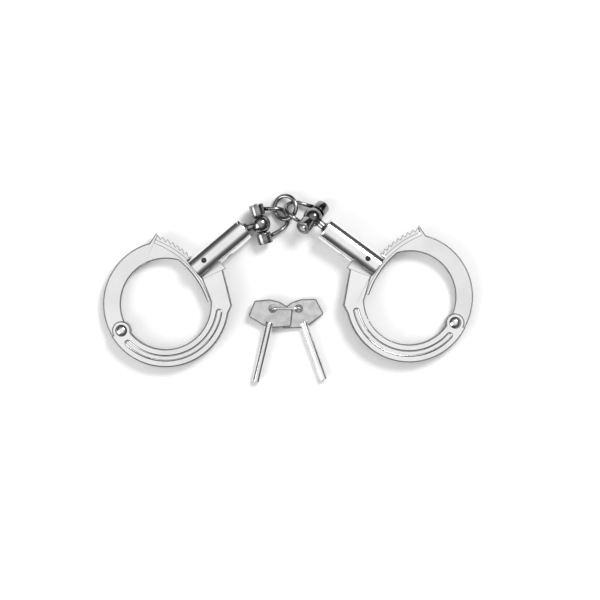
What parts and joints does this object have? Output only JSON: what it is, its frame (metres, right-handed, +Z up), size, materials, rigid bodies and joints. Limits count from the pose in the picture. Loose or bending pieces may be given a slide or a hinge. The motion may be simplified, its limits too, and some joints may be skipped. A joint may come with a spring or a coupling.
{
  "type": "handcuffs",
  "caption": "Handcuffs with barrel locks: toothed bows close into double cheek plates; ball swivels and wire shackles meet at a centre ring; two round-shank keys on a ring.",
  "frame": {"origin": "middle of the whole set's box, on the surface it lies on", "axes": "+X from the left cuff to the right one, +Y towards the chain, +Z up from the surface"},
  "size_m": [0.2502, 0.128, 0.0245],
  "materials": {
    "plate": "satin nickel plate on stamped steel",
    "bow_plate": "satin nickel plate on stamped steel",
    "barrel": "polished nickel plate on turned steel",
    "pins": "nickel plated riveted steel",
    "chain_steel": "polished nickel plate, darker",
    "lock_steel": "bare hardened steel, oiled",
    "key_bow": "tumbled nickel plate, mottled",
    "key_shank": "polished nickel plate",
    "key_ring": "bright wire"
  },
  "bodies": {
    "left_frame": {"left_front_cheek": "plate", "left_rear_cheek": "plate", "left_pivot_rivet": "pins", "left_barrel": "barrel", "left_guide_pins": "pins", "left_bolt_spring": "lock_steel", "left_spring_seat": "lock_steel", "left_end_cap": "barrel"},
    "left_bow": {"left_bow": "bow_plate"},
    "left_bolt": {"left_lock_bolt": "lock_steel"},
    "left_collar": {"left_swivel_collar": "lock_steel"},
    "left_stud": {"left_ball_stud": "chain_steel", "left_cross_pin": "pins"},
    "left_shackle": {"left_shackle": "chain_steel", "left_shackle_lugs": "chain_steel"},
    "right_frame": {"right_front_cheek": "plate", "right_rear_cheek": "plate", "right_pivot_rivet": "pins", "right_barrel": "barrel", "right_guide_pins": "pins", "right_bolt_spring": "lock_steel", "right_spring_seat": "lock_steel", "right_end_cap": "barrel"},
    "right_bow": {"right_bow": "bow_plate"},
    "right_bolt": {"right_lock_bolt": "lock_steel"},
    "right_collar": {"right_swivel_collar": "lock_steel"},
    "right_stud": {"right_ball_stud": "chain_steel", "right_cross_pin": "pins"},
    "right_shackle": {"right_shackle": "chain_steel", "right_shackle_lugs": "chain_steel"},
    "ring": {"centre_ring": "chain_steel"},
    "key_ring": {"key_ring": "key_ring"},
    "key_1": {"key_1_bow": "key_bow", "key_1_shank": "key_shank"},
    "key_2": {"key_2_bow": "key_bow", "key_2_shank": "key_shank"}
  },
  "joints": [
    {"name": "left_bow_pivot", "type": "hinge", "parent": "left_frame", "child": "left_bow", "pos_m": [-0.11233, -0.02888, 0.0057], "axis": [-0.0335, -0.0281, 0.999], "range_deg": [-22.54, 135]},
    {"name": "left_bolt_slide", "type": "slide", "parent": "left_frame", "child": "left_bolt", "axis": [-0.7653, -0.6422, -0.0437], "range_m": [0, 0.00205], "stiffness_N_per_m": 300, "springref_m": 0.0035},
    {"name": "left_swivel_spin", "type": "hinge", "parent": "left_frame", "child": "left_collar", "pos_m": [-0.03091, 0.03944, 0.01035], "axis": [0.7653, 0.6422, 0.0437], "continuous": true},
    {"name": "left_swivel_tilt", "type": "hinge", "parent": "left_collar", "child": "left_stud", "pos_m": [-0.03091, 0.03944, 0.01035], "axis": [0.192, -0.2926, 0.9368], "range_deg": [-2.74, 54.26]},
    {"name": "left_shackle_hinge", "type": "hinge", "parent": "left_stud", "child": "left_shackle", "pos_m": [-0.01842, 0.04298, 0.0089], "axis": [0.2569, -0.9587, -0.1219], "range_deg": [-60, 60]},
    {"name": "left_link_swing", "type": "hinge", "parent": "left_shackle", "child": "ring", "pos_m": [-0.00041, 0.04868, 0.00203], "axis": [-0.2569, 0.9587, 0.1219], "range_deg": [-40, 2]},
    {"name": "right_bow_pivot", "type": "hinge", "parent": "right_frame", "child": "right_bow", "pos_m": [0.11256, -0.02351, 0.0057], "axis": [-0.0506, 0.0368, -0.998], "range_deg": [-25.76, 131.78]},
    {"name": "right_bolt_slide", "type": "slide", "parent": "right_frame", "child": "right_bolt", "axis": [0.8074, -0.5866, -0.0626], "range_m": [0, 0.00205], "stiffness_N_per_m": 300, "springref_m": 0.0035},
    {"name": "right_link_swing", "type": "hinge", "parent": "ring", "child": "right_shackle", "pos_m": [-0.00058, 0.05604, 0.00677], "axis": [0.5001, 0.5876, -0.6361], "range_deg": [-12, 50]},
    {"name": "right_shackle_hinge", "type": "hinge", "parent": "right_shackle", "child": "right_stud", "pos_m": [0.01667, 0.04733, 0.0123], "axis": [-0.5001, -0.5876, 0.6361], "range_deg": [-60, 60]},
    {"name": "right_swivel_tilt", "type": "hinge", "parent": "right_stud", "child": "right_collar", "pos_m": [0.02665, 0.0389, 0.01236], "axis": [-0.4337, -0.5184, -0.737], "range_deg": [-22.82, 34.18]},
    {"name": "right_swivel_spin", "type": "hinge", "parent": "right_collar", "child": "right_frame", "pos_m": [0.02665, 0.0389, 0.01236], "axis": [-0.8074, 0.5866, 0.0626], "continuous": true},
    {"name": "keys_lift", "type": "slide", "parent": "left_frame", "child": "key_ring", "axis": [0, 0, 1], "range_m": [0, 0.15]},
    {"name": "key_1_swing", "type": "hinge", "parent": "key_ring", "child": "key_1", "pos_m": [-0.01082, -0.01404, 0.00496], "axis": [0, 0, -1], "range_deg": [-15, 38]},
    {"name": "key_2_swing", "type": "hinge", "parent": "key_ring", "child": "key_2", "pos_m": [0.00768, -0.01404, 0.00496], "axis": [0, 0, 1], "range_deg": [-15, 38]}
  ]
}
